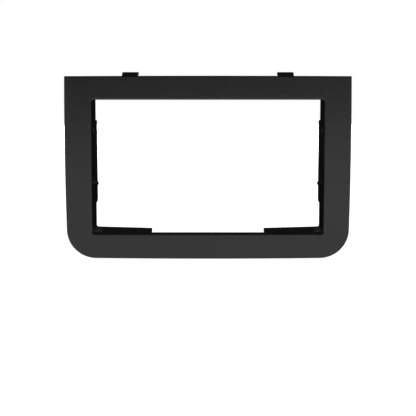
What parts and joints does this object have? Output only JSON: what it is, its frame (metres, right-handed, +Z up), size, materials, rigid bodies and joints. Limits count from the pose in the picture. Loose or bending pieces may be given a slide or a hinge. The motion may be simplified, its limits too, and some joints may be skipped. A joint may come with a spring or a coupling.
{
  "type": "car radio mounting frame",
  "caption": "Moulded dashboard frame that surrounds and holds a double-height car radio, with side brackets and edge tabs.",
  "frame": {"origin": "centre of the radio opening, on the plane that touches the front of the crowned face", "axes": "+X to the right seen from the front, +Y back into the dashboard along the radio's depth, +Z up"},
  "size_m": [0.2226, 0.053, 0.1455],
  "materials": {
    "black_plastic": "fine-grained satin black moulded plastic"
  },
  "bodies": {
    "root": {"mounting_frame": "black_plastic"}
  },
  "joints": []
}
